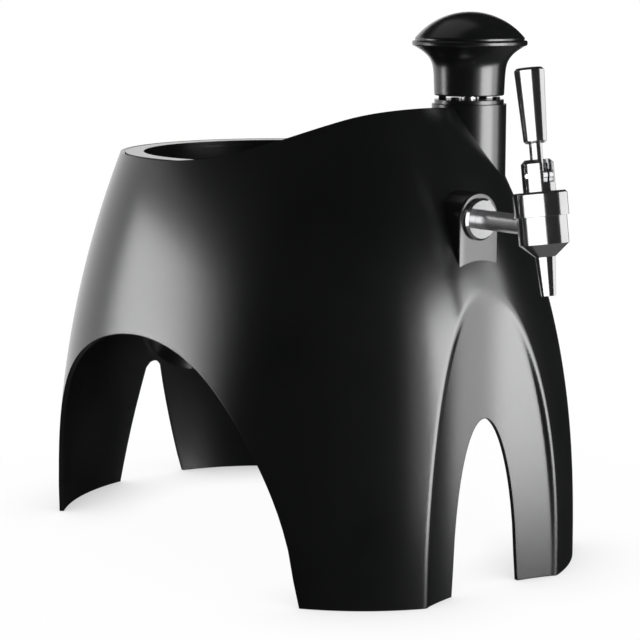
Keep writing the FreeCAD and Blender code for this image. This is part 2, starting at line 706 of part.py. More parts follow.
grip = turned("pump_grip", [
    ("sizes.grip_radius - sizes.grip_wall", "0"),
    ("sizes.grip_radius", "0"),
    ("sizes.grip_radius + sizes.neck_swell", "sizes.neck_length"),
    ("sizes.grip_radius + sizes.flare_low_swell", "sizes.neck_length + sizes.flare_low_rise"),
    ("sizes.grip_radius + sizes.flare_high_swell", "sizes.neck_length + sizes.flare_high_rise"),
    ("sizes.cap_radius - sizes.cap_overhang", "sizes.grip_flare_top - sizes.grip_foot"),
    ("sizes.rod_radius", "sizes.grip_flare_top - sizes.grip_foot"),
    ("sizes.rod_radius", "sizes.grip_flare_top - sizes.grip_foot - sizes.grip_wall"),
    ("sizes.grip_radius - sizes.grip_wall", "sizes.grip_flare_top - sizes.grip_foot - sizes.grip_wall"),
])
name_part(grip, "pump_grip", z="sizes.grip_foot", **PUMP)

dome_ball = doc.addObject("Part::Sphere", "cap_ball")
BALL = "((sizes.cap_radius * sizes.cap_radius + sizes.cap_rise * sizes.cap_rise) / (2 * sizes.cap_rise))"
bind(dome_ball, Radius=BALL)
shift_tool(dome_ball, z="sizes.cap_edge + sizes.cap_rise - " + BALL)
cap_post = cylinder("cap_post", "sizes.cap_radius", "sizes.cap_edge + 2 * sizes.cap_rise")
cap = doc.addObject("Part::Common", "pump_cap")
cap.Base = dome_ball
cap.Tool = cap_post
name_part(cap, "pump_cap", z="sizes.grip_flare_top", **PUMP)

BARREL_FOOT = "(sizes.sleeve_top - sizes.sleeve_length + sizes.sleeve_floor)"
BARREL_IN = "(sizes.barrel_radius - sizes.barrel_wall)"
PISTON_FOOT = "(" + BARREL_FOOT + " + sizes.barrel_wall + sizes.piston_lift)"

barrel = turned("pump_barrel", [
    ("sizes.hose_bore", "0"),
    ("sizes.barrel_radius", "0"),
    ("sizes.barrel_radius", "sizes.barrel_length"),
    (BARREL_IN, "sizes.barrel_length"),
    (BARREL_IN, "sizes.barrel_wall"),
    ("sizes.hose_bore", "sizes.barrel_wall"),
])
name_part(barrel, "pump_barrel", z=BARREL_FOOT, **PUMP)

gland = turned("barrel_gland", [
    ("sizes.rod_radius + sizes.run_gap", "0"),
    (BARREL_IN + " - sizes.run_gap", "0"),
    (BARREL_IN + " - sizes.run_gap", "sizes.gland_plug"),
    ("sizes.barrel_radius + sizes.gland_brim", "sizes.gland_plug"),
    ("sizes.barrel_radius + sizes.gland_brim", "sizes.gland_plug + sizes.gland_flange"),
    ("sizes.rod_radius + sizes.run_gap", "sizes.gland_plug + sizes.gland_flange"),
])
name_part(gland, "barrel_gland", z=BARREL_FOOT + " + sizes.barrel_length - sizes.gland_plug", **PUMP)

rod = turned("pump_rod", [
    ("0", "0"),
    ("sizes.rod_radius", "0"),
    ("sizes.rod_radius", "sizes.grip_flare_top - " + PISTON_FOOT + " - sizes.piston_thick"),
    ("0", "sizes.grip_flare_top - " + PISTON_FOOT + " - sizes.piston_thick"),
])
name_part(rod, "pump_rod", z=PISTON_FOOT + " + sizes.piston_thick", **PUMP)

piston = turned("pump_piston", [
    ("0", "0"),
    (BARREL_IN + " - sizes.run_gap", "0"),
    (BARREL_IN + " - sizes.run_gap", "sizes.piston_thick"),
    ("0", "sizes.piston_thick"),
])
name_part(piston, "pump_piston", z=PISTON_FOOT, **PUMP)

seal = turned("piston_seal", [
    ("0", "0"),
    (BARREL_IN + " - sizes.run_gap", "0"),
    (BARREL_IN + " - sizes.run_gap", "sizes.seal_thick"),
    ("0", "sizes.seal_thick"),
])
name_part(seal, "piston_seal", z=PISTON_FOOT + " - sizes.seal_thick", **PUMP)

flap = turned("check_valve", [
    ("0", "0"),
    ("sizes.valve_radius", "0"),
    ("sizes.valve_radius", "sizes.valve_thick"),
    ("0", "sizes.valve_thick"),
])
name_part(flap, "check_valve", z=BARREL_FOOT + " + sizes.barrel_wall", **PUMP)

BARB_TEETH = [
    ("sizes.hose_bore", "0"),
    ("sizes.barb_radius - sizes.barb_nose", "0"),
    ("sizes.barb_radius", "sizes.barb_tip"),
    ("sizes.barb_radius - sizes.barb_step", "sizes.barb_tip"),
    ("sizes.barb_radius", "sizes.barb_tip + sizes.barb_pitch"),
    ("sizes.barb_radius - sizes.barb_step", "sizes.barb_tip + sizes.barb_pitch"),
    ("sizes.barb_radius", "sizes.barb_tip + 2 * sizes.barb_pitch"),
]
air_barb = turned("air_barb", BARB_TEETH + [
    ("sizes.barb_radius", "sizes.barb_length"),
    ("sizes.hose_bore", "sizes.barb_length"),
])
name_part(air_barb, "air_barb", z=BARREL_FOOT + " - sizes.barb_length", **PUMP)

# Tap shank and its fixings, turned about the shank's axis, which runs towards the tap

FORWARD = {"axis": SIDE, "angle": "90"}


def on_shank(body, label, back):
    """Place a piece on the shank: its own Z runs forward from a distance behind the foot line."""
    return name_part(body, label, y=back, z="sizes.shank_height", **FORWARD)


rose = turned("tap_rose", [
    ("sizes.shank_radius + sizes.run_gap", "0"),
    ("sizes.rose_radius", "0"),
    ("sizes.rose_radius", "sizes.rose_thick - sizes.rose_edge"),
    ("sizes.rose_radius - sizes.rose_edge", "sizes.rose_thick"),
    ("sizes.shank_radius + sizes.run_gap", "sizes.rose_thick"),
])
on_shank(rose, "tap_rose", "sizes.boss_face_back")

SHANK_START = "(sizes.boss_face_back + sizes.shank_tail)"
SHANK_LONG = "(sizes.shank_tail + sizes.tap_reach - sizes.chamber_radius)"
shank = turned("tap_shank", [
    ("sizes.shank_bore", "0"),
    ("sizes.shank_radius", "0"),
    ("sizes.shank_radius", SHANK_LONG),
    ("sizes.shank_bore", SHANK_LONG),
])
on_shank(shank, "tap_shank", SHANK_START)

washer = turned("shank_washer", [
    ("sizes.shank_radius + sizes.run_gap", "0"),
    ("sizes.washer_radius", "0"),
    ("sizes.washer_radius", "sizes.washer_thick"),
    ("sizes.shank_radius + sizes.run_gap", "sizes.washer_thick"),
])
on_shank(washer, "shank_washer", "sizes.boss_face_back + sizes.wall + sizes.washer_thick")

nut_block = doc.addObject("Part::Prism", "nut_block")
nut_block.Polygon = 6
bind(nut_block, Circumradius="sizes.nut_across / 2 / cos(30 deg)", Height="sizes.nut_thick")
nut_hole = cylinder("nut_hole", "sizes.shank_radius + sizes.run_gap", "3 * sizes.nut_thick", z="-sizes.nut_thick")
nut = cut("shank_nut", nut_block, nut_hole)
on_shank(nut, "shank_nut", "sizes.boss_face_back + sizes.wall + sizes.washer_thick + sizes.nut_thick")

beer_barb = turned("beer_barb", BARB_TEETH + [
    ("sizes.barb_radius - sizes.barb_step", "sizes.barb_tip + 2 * sizes.barb_pitch"),
    ("sizes.barb_radius - sizes.barb_step", "sizes.barb_length - sizes.barb_pitch"),
    ("sizes.shank_radius + sizes.barb_brim", "sizes.barb_length - sizes.barb_pitch"),
    ("sizes.shank_radius + sizes.barb_brim", "sizes.barb_length"),
    ("sizes.hose_bore", "sizes.barb_length"),
])
on_shank(beer_barb, "beer_barb", SHANK_START + " + sizes.barb_length")

# Tap, each piece about the tap's leaning axis, with heights from the shank's axis

TAP_BACK = "sizes.boss_face_back - sizes.tap_reach"


def on_tap(item, label, rise):
    """Place a piece on the tap's leaning axis, a rise above the shank's axis."""
    back = "%s + (%s) * sin(sizes.tap_tilt * 1 deg)" % (TAP_BACK, rise)
    up = "sizes.shank_height + (%s) * cos(sizes.tap_tilt * 1 deg)" % rise
    return name_part(item, label, y=back, z=up, axis=SIDE, angle="-sizes.tap_tilt")


SEAT_TOP = "(sizes.seat_thick - sizes.seat_low)"
BODY_FOOT = "sizes.cone_low"
tap_blank = turned("tap_blank", [
    ("sizes.nozzle_bore", "0"),
    ("sizes.nozzle_top_radius", "0"),
    ("sizes.tap_radius", "sizes.cone_low - sizes.tap_low"),
    ("sizes.tap_radius", "sizes.cone_low + sizes.tap_high"),
    ("sizes.chamber_radius", "sizes.cone_low + sizes.tap_high"),
    ("sizes.chamber_radius", "sizes.cone_low + " + SEAT_TOP),
    ("sizes.seat_bore", "sizes.cone_low + " + SEAT_TOP),
    ("sizes.seat_bore", "sizes.cone_low - sizes.seat_low"),
    ("sizes.chamber_radius", "sizes.cone_low - sizes.seat_low"),
    ("sizes.chamber_radius", "sizes.cone_low - sizes.tap_low - sizes.throat_start"),
    ("sizes.nozzle_bore", "sizes.cone_low - sizes.tap_low - sizes.throat_end"),
])
side_bore = cylinder("side_bore", "sizes.shank_radius + sizes.run_gap", "2 * sizes.tap_radius",
                     z="sizes.cone_low", axis=SIDE, angle=-90.0 + value("sizes.tap_tilt"))
tap_body = cut("tap_body", tap_blank, side_bore)
on_tap(tap_body, "tap_body", "-sizes.cone_low")

nozzle = turned("tap_nozzle", [
    ("sizes.nozzle_bore", "0"),
    ("sizes.nozzle_end_radius", "0"),
    ("sizes.nozzle_top_radius", "sizes.nozzle_length"),
    ("sizes.nozzle_bore", "sizes.nozzle_length"),
])
on_tap(nozzle, "tap_nozzle", "-sizes.cone_low - sizes.nozzle_length")

collar_blank = turned("collar_blank", [
    ("sizes.stem_radius + sizes.run_gap", "0"),
    ("sizes.collar_radius", "0"),
    ("sizes.collar_radius", "sizes.collar_height - sizes.collar_step"),
    ("sizes.collar_radius - sizes.collar_step", "sizes.collar_height"),
    ("sizes.stem_radius + sizes.run_gap", "sizes.collar_height"),
])
shank_relief = cylinder("shank_relief", "sizes.shank_radius + sizes.seat_gap", "2 * sizes.tap_radius",
                        z="-sizes.tap_high", axis=SIDE, angle=-90.0 + value("sizes.tap_tilt"))
collar = cut("tap_collar", collar_blank, shank_relief)
on_tap(collar, "tap_collar", "sizes.tap_high")

bonnet_blank = turned("bonnet_blank", [
    ("sizes.bonnet_bore", "0"),
    ("sizes.bonnet_radius", "0"),
    ("sizes.bonnet_radius", "sizes.bonnet_height - sizes.bonnet_chamfer"),
    ("sizes.bonnet_radius - sizes.bonnet_chamfer", "sizes.bonnet_height"),
    ("0", "sizes.bonnet_height"),
    ("0", "sizes.bonnet_height - sizes.bonnet_roof"),
    ("sizes.bonnet_bore", "sizes.bonnet_height - sizes.bonnet_roof"),
])
SLOT_HALF = "(sizes.neck_radius + sizes.slot_gap)"
slot_tool = box("bonnet_slot", "2 * " + SLOT_HALF, "2 * sizes.bonnet_radius + " + SLOT_HALF,
                "sizes.bonnet_height", x="-" + SLOT_HALF, y="-2 * sizes.bonnet_radius",
                z="sizes.pin_rise - sizes.lever_hub")
cross_bore = cylinder("cross_bore", "sizes.pin_radius", "4 * sizes.bonnet_radius",
                      x="-2 * sizes.bonnet_radius", z="sizes.pin_rise", axis=BACK, angle=90.0)
bonnet = cut("tap_bonnet", cut("bonnet_slotted", bonnet_blank, slot_tool), cross_bore)
BONNET_RISE = "(sizes.tap_high + sizes.collar_height)"
on_tap(bonnet, "tap_bonnet", BONNET_RISE)

pin = cylinder("pin_rod", "sizes.pin_radius", "2 * sizes.bonnet_radius - 2 * sizes.seat_gap")
pin_holder = doc.addObject("Part::Compound", "pin_group")
pin_holder.Links = [pin]
shift_tool(pin, x="-sizes.bonnet_radius + sizes.seat_gap", axis=BACK, angle=90.0)
on_tap(pin_holder, "lever_pin", BONNET_RISE + " + sizes.pin_rise")


def cam_face():
    """Cam outline across the pin: its radius grows steadily over the lever's swing."""
    base = size("lever_hub")
    swing = math.radians(size("lever_swing"))
    points = []
    steps = 8
    for step in range(steps + 1):
        share = step / steps
        angle = -math.pi / 2.0 - share * swing
        reach = base + size("cam_lift") * share
        points.append(V(0, reach * math.cos(angle), reach * math.sin(angle)))
    rise = Part.BSplineCurve()
    rise.interpolate(points)
    last = points[-1]
    nose = last.normalize() * (base + size("cam_lift"))
    shoulder_angle = -math.pi / 2.0 - swing - math.radians(size("cam_shoulder"))
    shoulder = V(0, base * math.cos(shoulder_angle), base * math.sin(shoulder_angle))
    far_angle = (shoulder_angle - 2.5 * math.pi) / 2.0
    far = V(0, base * math.cos(far_angle), base * math.sin(far_angle))
    edges = [
        rise.toShape(),
        Part.LineSegment(nose, shoulder).toShape(),
        Part.Arc(shoulder, far, points[0]).toShape(),
    ]
    return Part.Face(Part.Wire(edges))


def make_lever():
    """Lever: a stem on a hub whose cam presses the valve stem down."""
    width = size("lever_hub_width")
    hub = cam_face()
    hub.translate(SIDE * (-width / 2.0))
    hub = hub.extrude(SIDE * width)
    stem_top = size("handle_start") + size("handle_bore_depth") - value(BONNET_RISE) - size("pin_rise")
    stem = Part.makeCylinder(size("neck_radius"), stem_top, V(0, 0, 0), UP)
    bore = Part.makeCylinder(size("pin_radius") + size("run_gap"), 2.0 * width, V(-width, 0, 0), SIDE)
    return hub.fuse(stem).cut(bore).removeSplitter()


lever = doc.addObject("Part::Feature", "tap_lever")
lever.Shape = make_lever()
on_tap(lever, "tap_lever", BONNET_RISE + " + sizes.pin_rise")

handle = turned("tap_handle", [
    ("sizes.neck_radius", "0"),
    ("sizes.handle_foot_radius - sizes.handle_chamfer", "0"),
    ("sizes.handle_foot_radius", "sizes.handle_chamfer"),
    ("sizes.handle_top_radius", "sizes.handle_length - sizes.handle_chamfer"),
    ("sizes.handle_top_radius - sizes.handle_chamfer", "sizes.handle_length"),
    ("0", "sizes.handle_length"),
    ("0", "sizes.handle_bore_depth"),
    ("sizes.neck_radius", "sizes.handle_bore_depth"),
])
on_tap(handle, "tap_handle", "sizes.handle_start")

STEM_FOOT = "(-sizes.seat_low - sizes.seat_gap - sizes.disc_thick)"
STEM_LONG = "(" + BONNET_RISE + " + sizes.pin_rise - sizes.lever_hub - sizes.cam_gap - " + STEM_FOOT + ")"
stem = turned("valve_stem", [
    ("0", "0"),
    ("sizes.stem_radius", "0"),
    ("sizes.stem_radius", STEM_LONG + " - sizes.stem_radius + sizes.tip_radius"),
    ("sizes.tip_radius", STEM_LONG),
    ("0", STEM_LONG),
])
on_tap(stem, "valve_stem", STEM_FOOT)

disc = turned("valve_disc", [
    ("sizes.stem_radius", "0"),
    ("sizes.disc_radius", "0"),
    ("sizes.disc_radius", "sizes.disc_thick"),
    ("sizes.stem_radius", "sizes.disc_thick"),
])
on_tap(disc, "valve_disc", STEM_FOOT)

# Check and export

doc.recompute()
failed = []
for item in doc.Objects:
    if "Invalid" in item.State or "Error" in item.State:
        failed.append(item.Name)
for item in finished:
    if item.Shape.isNull() or not item.Shape.isValid() or not item.Shape.Solids:
        failed.append(item.Label)
if failed:
    raise RuntimeError("these objects failed: " + ", ".join(failed))

os.makedirs("parts", exist_ok=True)
total = FreeCAD.BoundBox()
for item in finished:
    item.Shape.exportStep("parts/%s.step" % item.Label)
    total.add(item.Shape.BoundBox)
print("%d sub-parts" % len(finished))
print("box x %.2f %.2f  y %.2f %.2f  z %.2f %.2f"
      % (total.XMin, total.XMax, total.YMin, total.YMax, total.ZMin, total.ZMax))
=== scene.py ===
# %% [markdown]
# # A table dispenser for a small party keg
# The measured solids of this dispenser are loaded first, and they stay where they are. Everything that the
# eye notices is then dressed around them: the moulded shell with its soft edges, the pump's knob, the
# mirror-bright tap, and the finish of each plastic and metal. The box of the solids is kept to a tenth of
# a millimetre.

# %% Load the measured solids
import bmesh
import bpy
import json
import math
import numpy as np
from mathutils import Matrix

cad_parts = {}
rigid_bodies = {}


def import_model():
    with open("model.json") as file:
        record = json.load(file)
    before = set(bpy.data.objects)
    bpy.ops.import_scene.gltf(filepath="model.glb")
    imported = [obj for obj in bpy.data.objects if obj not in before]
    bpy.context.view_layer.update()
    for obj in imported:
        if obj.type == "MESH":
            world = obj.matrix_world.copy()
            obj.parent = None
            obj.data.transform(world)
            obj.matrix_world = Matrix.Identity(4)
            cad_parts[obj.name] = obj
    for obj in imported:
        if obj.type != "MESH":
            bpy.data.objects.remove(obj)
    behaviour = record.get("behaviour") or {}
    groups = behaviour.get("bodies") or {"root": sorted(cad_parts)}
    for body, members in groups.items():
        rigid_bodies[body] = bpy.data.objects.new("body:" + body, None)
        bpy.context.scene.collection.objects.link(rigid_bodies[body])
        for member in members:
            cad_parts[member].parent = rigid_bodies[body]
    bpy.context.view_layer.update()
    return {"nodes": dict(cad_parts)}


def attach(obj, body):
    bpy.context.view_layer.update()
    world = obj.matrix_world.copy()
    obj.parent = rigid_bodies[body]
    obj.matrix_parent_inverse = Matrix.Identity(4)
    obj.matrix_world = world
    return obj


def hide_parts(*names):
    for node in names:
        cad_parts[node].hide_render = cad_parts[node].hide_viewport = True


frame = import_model()
NODES = frame["nodes"]

# %% [markdown]
# ## Writing shader maths as plain expressions
# A material is a small network of nodes. Linking Math nodes one by one is hard to read, so one class wraps
# a socket and gives it the usual operators: writing 1 - mask adds the node that works it out. Colours
# never pass through these operators, because a Math node turns a colour grey; they go through Mix and
# Vector Math instead.

# %% A socket that understands arithmetic
class Wire:
    """A value in a node tree. Python's operators add Math nodes, and node() adds any other kind."""

    def __init__(self, tree, socket):
        self.tree = tree
        self.socket = socket

    def node(self, kind, settings=None, out=0, **inputs):
        """Adds a node: its settings first, then the values or links of its sockets by name or number."""
        made = self.tree.nodes.new(kind)
        for key, setting in (settings or {}).items():
            setattr(made, key, setting)
        for key, given in inputs.items():
            numbered = key[0] == "i" and key[1:].isdigit()
            slot = made.inputs[int(key[1:]) if numbered else key.replace("_", " ")]
            if isinstance(given, Wire):
                self.tree.links.new(given.socket, slot)
            else:
                slot.default_value = given
        return Wire(self.tree, made.outputs[out])

    def maths(self, operation, *others):
        """One Math node on this value and the others."""
        values = {"i%d" % place: other for place, other in enumerate((self, *others))}
        return self.node("ShaderNodeMath", {"operation": operation}, **values)

    def __add__(self, other):
        return self.maths("ADD", other)

    __radd__ = __add__

    def __mul__(self, other):
        return self.maths("MULTIPLY", other)

    __rmul__ = __mul__

    def __rsub__(self, other):
        return (self * -1.0) + other

    def step(self, low, high):
        """Smooth step from 0 to 1 while this value goes from low to high."""
        smooth = {"interpolation_type": "SMOOTHSTEP"}
        return self.node("ShaderNodeMapRange", smooth, i0=self, i1=low, i2=high)


# %% [markdown]
# ## One way to start every finish
# Each finish begins with a Principled shader whose fixed numbers are written on its own sockets, and with
# the piece's own coordinates in metres, so that a grain of half a millimetre stays half a millimetre on
# every piece.

# %% A new finish
def new_finish(title, **fixed):
    """Material with a Principled shader. Returns the material, its shader node and object coordinates."""
    finish = bpy.data.materials.new(title)
    finish.use_nodes = True
    shader = finish.node_tree.nodes["Principled BSDF"]
    for key, number in fixed.items():
        shader.inputs[key.replace("_", " ")].default_value = number
    start = Wire(finish.node_tree, None)
    place = start.node("ShaderNodeTexCoord", None, out=3)
    return finish, shader, place


def feed(shader, **links):
    """Links values to the shader's sockets by name."""
    for key, wire in links.items():
        wire.tree.links.new(wire.socket, shader.inputs[key.replace("_", " ")])


def noise(place, scale, detail=2.0, rough=0.5):
    """Soft noise whose cells are about 1/scale metres wide."""
    return place.node("ShaderNodeTexNoise", None, Vector=place, Scale=scale, Detail=detail, Roughness=rough)


def shade_mix(share, dark, light):
    """Colour between two colours."""
    ends = {"i6": (*dark, 1.0), "i7": (*light, 1.0)}
    return share.node("ShaderNodeMix", {"data_type": "RGBA"}, out=2, i0=share, **ends)


def bump(height, depth, soft_edge):
    """Normal from a height between 0 and 1 and its depth in metres, over edges rounded by soft_edge."""
    rounded = height.node("ShaderNodeBevel", {"samples": 6}, Radius=soft_edge)
    return height.node("ShaderNodeBump", None, Height=height, Distance=depth, Strength=1.0, Normal=rounded)


print("helpers for finishes are ready")

# %% [markdown]
# ## The moulded black plastic of the shell
# The shell is dyed plastic from a spark-eroded mould. Its skin is a very fine grain, which spreads the
# studio light into soft grey sheets instead of sharp reflections. The grain is far smaller than a pixel in
# a full view, so most of its effect is in the roughness, and a shallow bump keeps it alive in a close
# view.

# %% Grained shell plastic
def grained_plastic():
    """Near-black plastic with a fine grain and a slightly uneven sheen."""
    finish, shader, place = new_finish("grained shell plastic", IOR=1.5)
    grain = noise(place, 1300.0, 2.0, 0.6)
    cloud = noise(place, 14.0, 3.0, 0.55)
    feed(shader,
         Base_Color=shade_mix(cloud.step(0.35, 0.65), (0.0015, 0.0017, 0.0016), (0.0023, 0.0026, 0.0024)),
         Roughness=0.17 + 0.03 * cloud + 0.07 * grain,
         Normal=bump(grain, 0.00004, 0.0008))
    return finish


SHELL_PLASTIC = grained_plastic()
print("made", SHELL_PLASTIC.name)

# %% [markdown]
# ## Glossier plastic inside
# The keg's well, the mouth ring and the deck come from a polished side of the mould. They have waves in
# place of a grain and reflect a little more sharply than the shell, so the lip of the mouth draws a thin
# light line.

# %% Polished inner plastic
def polished_plastic():
    """Near-black plastic with a smooth face that waves a little, as thin mouldings do."""
    finish, shader, place = new_finish("polished inner plastic", IOR=1.5)
    wave = noise(place, 22.0, 1.0, 0.4)
    scuff = noise(place, 420.0, 4.0, 0.65)
    feed(shader,
         Base_Color=shade_mix(wave.step(0.3, 0.7), (0.0018, 0.0020, 0.0019), (0.0028, 0.0030, 0.0029)),
         Roughness=0.16 + 0.10 * scuff,
         Normal=bump(wave, 0.0006, 0.0005))
    return finish


INNER_PLASTIC = polished_plastic()
print("made", INNER_PLASTIC.name)

# %% [markdown]
# ## Satin plastic of the hand pump
# The column, its guide and the knob have a finer and shallower grain than the shell, and a slightly wider
# sheen. On round parts like these such a face draws long upright highlights.

# %% Satin pump plastic
def satin_plastic():
    """Near-black plastic with a very fine grain and a roughness that wanders."""
    finish, shader, place = new_finish("satin pump plastic", IOR=1.5)
    cloud = noise(place, 45.0, 3.0, 0.6)
    grain = noise(place, 2200.0, 1.0, 0.5)
    feed(shader,
         Base_Color=shade_mix(cloud.step(0.3, 0.7), (0.0015, 0.0017, 0.0016), (0.0023, 0.0026, 0.0024)),
         Roughness=0.20 + 0.06 * cloud + 0.03 * grain,
         Normal=bump(grain, 0.00002, 0.0005))
    return finish


PUMP_PLASTIC = satin_plastic()
print("made", PUMP_PLASTIC.name)

# %% [markdown]
# ## Mirror chrome, satin chrome and plain steel
# Chrome is almost colourless and almost a mirror. What makes it look real is what it mirrors, and faint
# wiping marks. The shank is brushed a little duller than the tap.

# %% Chrome and steel
def bright_metal(title, tint, low, high, depth):
    """Metal with wiping marks: roughness runs from low to high over stretched noise."""
    finish, shader, place = new_finish(title, Metallic=1.0)
    stretched = place.node("ShaderNodeMapping", None, Vector=place, Scale=(1.0, 1.0, 0.25))
    wipe = noise(stretched, 260.0, 5.0, 0.7)
    film = noise(place, 60.0, 2.0, 0.5)
    paler = tuple(min(1.0, part * 1.05) for part in tint)
    feed(shader,
         Base_Color=shade_mix(film.step(0.3, 0.7), tint, paler),
         Roughness=low + (high - low) * wipe,
         Normal=bump(film, depth, 0.0003))
    return finish


CHROME = bright_metal("mirror chrome", (0.78, 0.78, 0.79), 0.10, 0.20, 0.00002)
SATIN_CHROME = bright_metal("satin chrome", (0.78, 0.78, 0.79), 0.26, 0.36, 0.00002)
STEEL = bright_metal("turned steel", (0.52, 0.52, 0.51), 0.18, 0.36, 0.00003)
print("made", CHROME.name, SATIN_CHROME.name, STEEL.name)

# %% [markdown]
# ## The small fittings out of sight
# The barbs are white nylon, the seals are black rubber, and the air barrel is milky polypropylene.

# %% Nylon, rubber and milky barrel
def soft_solid(title, dark, light, rough, grain_size, depth, **fixed):
    """Plain solid with two shades of cloud and a light grain."""
    finish, shader, place = new_finish(title, **fixed)
    cloud = noise(place, 90.0, 3.0, 0.6)
    grain = noise(place, grain_size, 2.0, 0.5)
    feed(shader,
         Base_Color=shade_mix(cloud.step(0.3, 0.7), dark, light),
         Roughness=rough + 0.12 * cloud,
         Normal=bump(grain, depth, 0.0003))
    return finish


NYLON = soft_solid("white nylon", (0.62, 0.61, 0.57), (0.70, 0.69, 0.65), 0.32, 900.0, 0.00003)
RUBBER = soft_solid("black rubber", (0.015, 0.015, 0.015), (0.025, 0.025, 0.024), 0.62, 1500.0, 0.00005)
MILKY = soft_solid("milky barrel plastic", (0.55, 0.57, 0.57), (0.63, 0.65, 0.65), 0.28, 700.0, 0.00003)
print("made", NYLON.name, RUBBER.name, MILKY.name)

# %% [markdown]
# ## Dress the solids
# A solid whose shape is already right keeps its mesh and only gets the finish of its slot. The tap's shank
# is the one exception: it gets the satin chrome.

# %% Finish of each node
FINISHES = {
    "shell_black": SHELL_PLASTIC, "inner_gloss": INNER_PLASTIC, "pump_black": PUMP_PLASTIC, "chrome": CHROME,
    "steel": STEEL, "nylon": NYLON, "rubber": RUBBER, "barrel_clear": MILKY,
}
for node in NODES.values():
    for holder in node.material_slots:
        holder.material = FINISHES[holder.material.name.split(".")[0]]
NODES["tap_shank"].material_slots[0].material = SATIN_CHROME
print("dressed", len(NODES), "solids")

# %% [markdown]
# ## From an array of points to a mesh
# Every new surface here is worked out as one numpy array of rows and columns of points. Neighbouring
# points become the corners of a face. All these surfaces go round something, so the last column always
# joins the first.

# %% Mesh from a grid
def grid_mesh(title, points):
    """Mesh from an array of rows x columns x 3 points. Faces join neighbours, and the last column meets the
    first one."""
    rows, columns = points.shape[:2]
    index = np.arange(rows * columns).reshape(rows, columns)
    index = np.concatenate([index, index[:, :1]], axis=1)
    corners = [index[:-1, :-1], index[:-1, 1:], index[1:, 1:], index[1:, :-1]]
    quads = np.stack(corners, axis=-1).reshape(-1, 4)
    mesh = bpy.data.meshes.new(title)
    mesh.from_pydata(points.reshape(-1, 3).tolist(), [], quads.tolist())
    mesh.update()
    made = bpy.data.objects.new(title, mesh)
    bpy.context.scene.collection.objects.link(made)
    return made


print("grid_mesh is ready")

# %% [markdown]
# ## The shell as one skin
# At any height the shell's outline is a front circle and a rear circle with a gently crowned flank between
# them. A soft maximum of the two circles' reach gives exactly that: it follows each circle at its own end
# and swells over the join, which a straight line would leave flat and dead in the light. The radii and
# places change with height by simple powers, measured from the photograph's silhouettes.

# %% Outline of one level
RIM = 0.250
FOOT_LINE = 0.1596
FOOT_R = 0.137
DEPTH = 0.372
FRONT_BULGE = 0.010
REAR_TAPER = (0.034, 2.6)
FRONT_TAPER = (0.050, 2.05)
FRONT_LEAN = (0.052, 2.7)
REAR_LEAN = (0.0575, 1.85)
CROWN = 0.0040
BOX_MARGIN = 0.00006


def level_points(height, turn):
    """Points of the outline. For the outward direction (sin turn, -cos turn) a circle of radius r centred at
    y = c reaches r - c cos turn. The skin's reach is the soft maximum of both circles, and the point lies at
    that reach plus the reach's own rate of change along the tangent. Each taper and each lean is an amount
    and the power of height / rim that it grows by."""
    share = height / RIM
    rear_r = FOOT_R - REAR_TAPER[0] * share ** REAR_TAPER[1]
    front_r = FOOT_R - FRONT_TAPER[0] * share ** FRONT_TAPER[1]
    front_c = FRONT_LEAN[0] * share ** FRONT_LEAN[1] - FRONT_BULGE + front_r
    rear_c = DEPTH - REAR_LEAN[0] * share ** REAR_LEAN[1] - rear_r
    front = front_r - front_c * np.cos(turn)
    rear = rear_r - rear_c * np.cos(turn)
    reach = CROWN * np.logaddexp(front / CROWN, rear / CROWN) - BOX_MARGIN
    lean = 1.0 / (1.0 + np.exp(np.clip((rear - front) / CROWN, -60.0, 60.0)))
    rate = (lean * front_c + (1.0 - lean) * rear_c) * np.sin(turn)
    return reach * np.sin(turn) + rate * np.cos(turn), -reach * np.cos(turn) + rate * np.sin(turn)


# %% Columns of the skin
TOP_LEVEL = 0.289
LEVEL_COUNT = 290
FRONT_SHARE = 0.135
FRONT_COLUMNS = 60
OTHER_COLUMNS = 132
FINE_TURNS = 2400


def spread_columns(levels):
    """x and y of every column at every level: equal shares of each level's half outline, which lie closer
    together at the front."""
    turn = np.linspace(0.0, math.pi, FINE_TURNS)[:, None]
    x, y = level_points(levels[None, :], turn)
    step = np.hypot(np.diff(x, axis=0), np.diff(y, axis=0))
    run = np.vstack([np.zeros(len(levels)), np.cumsum(step, axis=0)])
    run /= run[-1]
    front = np.linspace(0.0, FRONT_SHARE, FRONT_COLUMNS)
    shares = np.concatenate([front, np.linspace(FRONT_SHARE, 1.0, OTHER_COLUMNS)[1:]])
    half_x = np.stack([np.interp(shares, run[:, i], x[:, i]) for i in range(len(levels))], axis=1)
    half_y = np.stack([np.interp(shares, run[:, i], y[:, i]) for i in range(len(levels))], axis=1)
    return np.vstack([half_x, -half_x[-2:0:-1]]), np.vstack([half_y, half_y[-2:0:-1]])


LEVELS = np.linspace(0.0, TOP_LEVEL, LEVEL_COUNT)
SKIN_X, SKIN_Y = spread_columns(LEVELS)
print("skin columns:", SKIN_X.shape[0], "levels:", SKIN_X.shape[1])

# %% [markdown]
# ## Arches below, a curved rim above
# Each column of the skin starts where the arches let it and ends at the rim, so the openings are not cut
# out of a finished mesh: the mesh is drawn between two curves. The rim is level at the keg's mouth, then
# two arcs of a circle lift it over the hump, and a round bite makes way for the pump's column.

